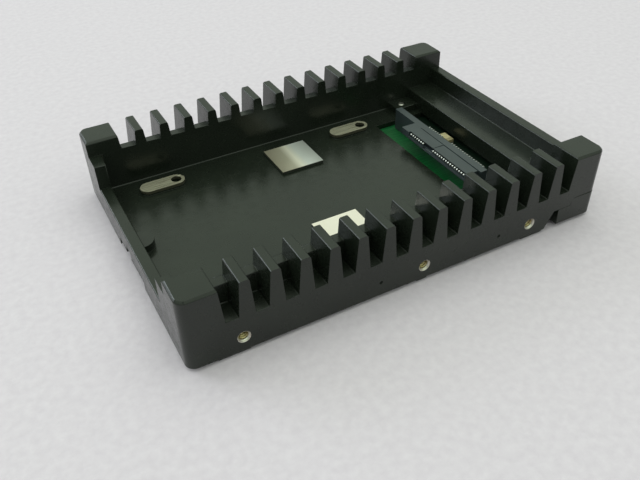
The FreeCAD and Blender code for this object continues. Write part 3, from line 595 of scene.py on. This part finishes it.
def add_screws(node, radius, material):
    """Pan-head screws with a cross recess, in the place of a node's plain ones."""
    low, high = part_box(node)
    head = (high.x - low.x) / 2
    x = (low.x + high.x) / 2
    profile = [(share * head, low.z + rise * HEAD_HEIGHT) for share, rise in HEAD_PROFILE]
    profile.append((radius, low.z + HEAD_HEIGHT))
    profile += [(share * radius, high.z - drop * radius) for share, drop in END_PROFILE]
    recess = [(head, low.z - RECESS_CLEAR), (RECESS_TAPER * head, low.z + RECESS_DEPTH * HEAD_HEIGHT)]
    screws = Form()
    cuts = Form()
    for y in (low.y + head, high.y - head):
        screws.add_rings([circle(x, y, reach, z) for reach, z in profile])
        for half_x, half_y in ((RECESS_LENGTH, RECESS_WIDTH), (RECESS_WIDTH, RECESS_LENGTH)):
            cuts.add_rings([[(x + side_x * half_x * reach, y + side_y * half_y * reach, z)
                             for side_x, side_y in SQUARE] for reach, z in recess])
    piece = screws.finish(f"{node}_detailed", material, "screw_steel")
    cut_away(piece, cuts.finish("recess_cutter", material, "screw_steel"))
    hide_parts(node)


def add_floor():
    mesh = bpy.data.meshes.new("floor")
    mesh.from_pydata([(x * FLOOR_REACH, y * FLOOR_REACH, 0) for x, y in SQUARE], [], [(0, 1, 2, 3)])
    floor = bpy.data.objects.new("floor", mesh)
    bpy.context.scene.collection.objects.link(floor)
    mesh.materials.append(pale_floor())


def add_area_light(name, direction, distance, width, height, power, colour):
    """A soft light that looks at the middle of the bracket from the given direction."""
    lamp = bpy.data.lights.new(name, "AREA")
    lamp.shape = "RECTANGLE"
    lamp.size = width
    lamp.size_y = height
    lamp.energy = power
    lamp.color = colour
    light = bpy.data.objects.new(name, lamp)
    away = Vector(direction).normalized()
    light.location = away * distance
    light.rotation_euler = away.to_track_quat("Z", "Y").to_euler()
    bpy.context.scene.collection.objects.link(light)


def add_sky():
    """Even light from all round, brighter from above."""
    world = bpy.data.worlds.new("studio")
    bpy.context.scene.world = world
    world.use_nodes = True
    tree = world.node_tree
    split = tree.nodes.new("ShaderNodeSeparateXYZ")
    tree.links.new(tree.nodes.new("ShaderNodeTexCoord").outputs["Generated"], split.inputs[0])
    ramp = tree.nodes.new("ShaderNodeValToRGB")
    tree.links.new(split.outputs[2], ramp.inputs[0])
    level, overhead = ramp.color_ramp.elements
    level.color = SKY_LOW
    overhead.position = SKY_HIGH_FROM
    overhead.color = SKY_HIGH
    background = tree.nodes["Background"]
    tree.links.new(ramp.outputs[0], background.inputs["Color"])
    background.inputs["Strength"].default_value = SKY_STRENGTH


def add_camera():
    lens = bpy.data.cameras.new("camera")
    lens.sensor_fit = "HORIZONTAL"
    lens.sensor_width = SENSOR_WIDTH
    lens.lens = FOCAL_LENGTH_PIXELS * SENSOR_WIDTH / IMAGE_WIDTH
    lens.clip_start = NEAR_CLIP
    camera = bpy.data.objects.new("camera", lens)
    right = Vector((math.cos(AZIMUTH), math.sin(AZIMUTH), 0))
    flat = Vector((math.sin(AZIMUTH), -math.cos(AZIMUTH), 0))
    back = flat * math.cos(ELEVATION) + Vector((0, 0, math.sin(ELEVATION)))
    up = back.cross(right)
    rolled_right = right * math.cos(ROLL) + up * math.sin(ROLL)
    rolled_up = up * math.cos(ROLL) - right * math.sin(ROLL)
    turn = Matrix((rolled_right, rolled_up, back)).transposed().to_4x4()
    camera.matrix_world = Matrix.Translation(TARGET + back * DISTANCE) @ turn
    bpy.context.scene.collection.objects.link(camera)
    bpy.context.scene.camera = camera


finishes = slot_finishes()
paint_nodes(finishes, foil_finishes())
for node, width in EDGE_ROUNDS.items():
    round_edges(nodes[node], width)
add_coves(finishes["black_casting"])
# Painted shade: the threads are bare casting metal, given a darker tone than the chamfers because they sit
# down in the holes.
add_threads(plated("thread_metal_painted_shade", dark=(0.20, 0.16, 0.07), light=(0.44, 0.37, 0.20), rough=0.24))
# Painted highlight: the contact tips take a near-white copy of the contact metal, brighter than the
# contacts themselves, so that they read as glinting dots.
tip_painted_highlight_metal = plated("contact_tip_painted_highlight", dark=(0.88, 0.89, 0.88), light=(0.96, 0.97, 0.96), rough=0.32,
                   metallic=0.3)
tail_metal = plated("tinned_tails", dark=(0.50, 0.51, 0.50), light=(0.66, 0.67, 0.66), rough=0.34,
                    metallic=0.6)
add_contact_ends("socket_contact_tips", tip_profile(), TIP_WIDTH, tip_painted_highlight_metal)
add_contact_ends("socket_tail_bends", tail_profile(), TAIL_WIDTH, tail_metal)
add_screws("board_screws", BOARD_SCREW_RADIUS, finishes["screw_steel"])
add_screws("cover_screws", COVER_SCREW_RADIUS, finishes["screw_steel"])
add_floor()
add_sky()
add_area_light("window", **WINDOW)
add_area_light("ceiling", **CEILING)
add_camera()
bpy.context.scene.view_settings.view_transform = "Standard"
